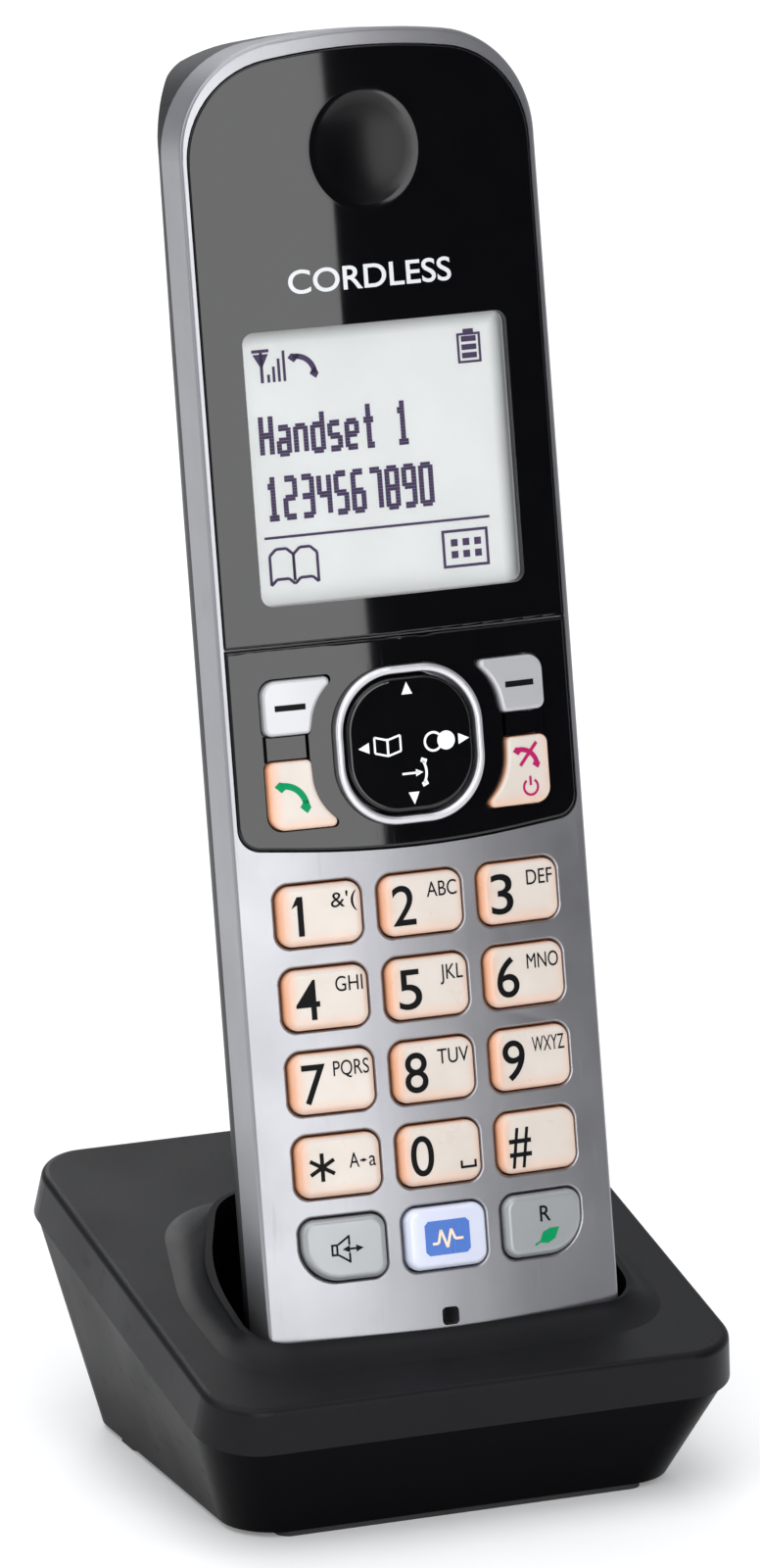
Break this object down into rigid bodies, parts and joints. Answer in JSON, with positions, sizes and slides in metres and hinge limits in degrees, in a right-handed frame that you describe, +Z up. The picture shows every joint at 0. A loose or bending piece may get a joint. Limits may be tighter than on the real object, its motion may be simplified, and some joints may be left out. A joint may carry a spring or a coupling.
{
  "type": "cordless phone with base",
  "caption": "Slim cordless handset with keypad, round navigator and small display, leaning back in a square sloping charging base with a raised cup.",
  "frame": {"origin": "middle of the charging base's plan box, on the surface it stands on", "axes": "+X to the right of the keypad, +Y to the back, +Z up"},
  "size_m": [0.073, 0.07, 0.1845],
  "materials": {
    "base_shell_black": "fine matte texture",
    "base_tray_black": "semi-gloss",
    "foot_rubber": "matte",
    "screw_steel": "zinc plated",
    "contact_metal": "nickel plated",
    "inner_plastic": "moulded",
    "circuit_board": "solder mask",
    "silver_frame": "satin silver paint",
    "rear_black": "fine matte texture",
    "gloss_black": "polished",
    "clear_window": "clear",
    "lcd_white": "backlit",
    "ring_silver": "satin",
    "battery_wrap": "shrink wrap",
    "key_ivory": "backlit translucent",
    "key_silver": "satin",
    "key_grey": "satin",
    "key_clear": "clear with a blue plate"
  },
  "bodies": {
    "charger_base": {"base_upper_shell": "base_shell_black", "base_lower_shell": "base_tray_black", "rubber_feet": "foot_rubber", "base_screws": "screw_steel", "charge_contact_left": "contact_metal", "charge_contact_right": "contact_metal", "contact_carrier": "inner_plastic", "charger_board": "circuit_board", "power_inlet": "inner_plastic"},
    "handset": {"handset_front_frame": "silver_frame", "handset_rear_case": "rear_black", "display_panel": "gloss_black", "function_panel": "gloss_black", "display_window": "clear_window", "navigator_ring": "ring_silver", "lcd_module": "lcd_white", "lcd_backlight": "lcd_white", "keypad_mat": "foot_rubber", "main_board": "circuit_board", "earpiece_speaker": "inner_plastic", "loudspeaker": "inner_plastic", "microphone": "inner_plastic", "battery_left": "battery_wrap", "battery_right": "battery_wrap", "battery_terminals": "contact_metal", "battery_contact_plate": "contact_metal", "handset_contact_left": "contact_metal", "handset_contact_right": "contact_metal", "handset_screws": "screw_steel"},
    "battery_cover": {"battery_cover": "rear_black"},
    "key_1": {"key_1": "key_ivory"},
    "key_2": {"key_2": "key_ivory"},
    "key_3": {"key_3": "key_ivory"},
    "key_4": {"key_4": "key_ivory"},
    "key_5": {"key_5": "key_ivory"},
    "key_6": {"key_6": "key_ivory"},
    "key_7": {"key_7": "key_ivory"},
    "key_8": {"key_8": "key_ivory"},
    "key_9": {"key_9": "key_ivory"},
    "key_star": {"key_star": "key_ivory"},
    "key_0": {"key_0": "key_ivory"},
    "key_hash": {"key_hash": "key_ivory"},
    "soft_key_left": {"soft_key_left": "key_silver"},
    "soft_key_right": {"soft_key_right": "key_silver"},
    "talk_key": {"talk_key": "key_ivory"},
    "off_key": {"off_key": "key_ivory"},
    "speaker_key": {"speaker_key": "key_grey"},
    "noise_key": {"noise_key": "key_clear"},
    "recall_key": {"recall_key": "key_grey"},
    "navigator_core": {"navigator_core": "inner_plastic"},
    "navigator_key": {"navigator_key": "gloss_black"}
  },
  "joints": [
    {"name": "handset_lift", "type": "slide", "parent": "charger_base", "child": "handset", "axis": [0, 0.1937, 0.9811], "range_m": [0, 0.07]},
    {"name": "battery_cover_release", "type": "slide", "parent": "handset", "child": "battery_cover", "axis": [0, 0.9811, -0.1937], "range_m": [0, 0.012]},
    {"name": "key_1_press", "type": "slide", "parent": "handset", "child": "key_1", "axis": [0, 0.9811, -0.1937], "range_m": [0, 0.0005], "stiffness_N_per_m": 200},
    {"name": "key_2_press", "type": "slide", "parent": "handset", "child": "key_2", "axis": [0, 0.9811, -0.1937], "range_m": [0, 0.0005], "stiffness_N_per_m": 200},
    {"name": "key_3_press", "type": "slide", "parent": "handset", "child": "key_3", "axis": [0, 0.9811, -0.1937], "range_m": [0, 0.0005], "stiffness_N_per_m": 200},
    {"name": "key_4_press", "type": "slide", "parent": "handset", "child": "key_4", "axis": [0, 0.9811, -0.1937], "range_m": [0, 0.0005], "stiffness_N_per_m": 200},
    {"name": "key_5_press", "type": "slide", "parent": "handset", "child": "key_5", "axis": [0, 0.9811, -0.1937], "range_m": [0, 0.0005], "stiffness_N_per_m": 200},
    {"name": "key_6_press", "type": "slide", "parent": "handset", "child": "key_6", "axis": [0, 0.9811, -0.1937], "range_m": [0, 0.0005], "stiffness_N_per_m": 200},
    {"name": "key_7_press", "type": "slide", "parent": "handset", "child": "key_7", "axis": [0, 0.9811, -0.1937], "range_m": [0, 0.0005], "stiffness_N_per_m": 200},
    {"name": "key_8_press", "type": "slide", "parent": "handset", "child": "key_8", "axis": [0, 0.9811, -0.1937], "range_m": [0, 0.0005], "stiffness_N_per_m": 200},
    {"name": "key_9_press", "type": "slide", "parent": "handset", "child": "key_9", "axis": [0, 0.9811, -0.1937], "range_m": [0, 0.0005], "stiffness_N_per_m": 200},
    {"name": "key_star_press", "type": "slide", "parent": "handset", "child": "key_star", "axis": [0, 0.9811, -0.1937], "range_m": [0, 0.0005], "stiffness_N_per_m": 200},
    {"name": "key_0_press", "type": "slide", "parent": "handset", "child": "key_0", "axis": [0, 0.9811, -0.1937], "range_m": [0, 0.0005], "stiffness_N_per_m": 200},
    {"name": "key_hash_press", "type": "slide", "parent": "handset", "child": "key_hash", "axis": [0, 0.9811, -0.1937], "range_m": [0, 0.0005], "stiffness_N_per_m": 200},
    {"name": "soft_key_left_press", "type": "slide", "parent": "handset", "child": "soft_key_left", "axis": [0, 0.9811, -0.1937], "range_m": [0, 0.0005], "stiffness_N_per_m": 200},
    {"name": "soft_key_right_press", "type": "slide", "parent": "handset", "child": "soft_key_right", "axis": [0, 0.9811, -0.1937], "range_m": [0, 0.0005], "stiffness_N_per_m": 200},
    {"name": "talk_key_press", "type": "slide", "parent": "handset", "child": "talk_key", "axis": [0, 0.9811, -0.1937], "range_m": [0, 0.0005], "stiffness_N_per_m": 200},
    {"name": "off_key_press", "type": "slide", "parent": "handset", "child": "off_key", "axis": [0, 0.9811, -0.1937], "range_m": [0, 0.0005], "stiffness_N_per_m": 200},
    {"name": "speaker_key_press", "type": "slide", "parent": "handset", "child": "speaker_key", "axis": [0, 0.9811, -0.1937], "range_m": [0, 0.0005], "stiffness_N_per_m": 200},
    {"name": "noise_key_press", "type": "slide", "parent": "handset", "child": "noise_key", "axis": [0, 0.9811, -0.1937], "range_m": [0, 0.0005], "stiffness_N_per_m": 200},
    {"name": "recall_key_press", "type": "slide", "parent": "handset", "child": "recall_key", "axis": [0, 0.9811, -0.1937], "range_m": [0, 0.0005], "stiffness_N_per_m": 200},
    {"name": "navigator_up_down", "type": "hinge", "parent": "handset", "child": "navigator_core", "pos_m": [0, -0.00575, 0.09561], "axis": [1, 0, 0], "range_deg": [-3, 3], "stiffness_Nm_per_rad": 0.2},
    {"name": "navigator_left_right", "type": "hinge", "parent": "navigator_core", "child": "navigator_key", "pos_m": [0, -0.00575, 0.09561], "axis": [0, 0.1937, 0.9811], "range_deg": [-3, 3], "stiffness_Nm_per_rad": 0.2}
  ]
}
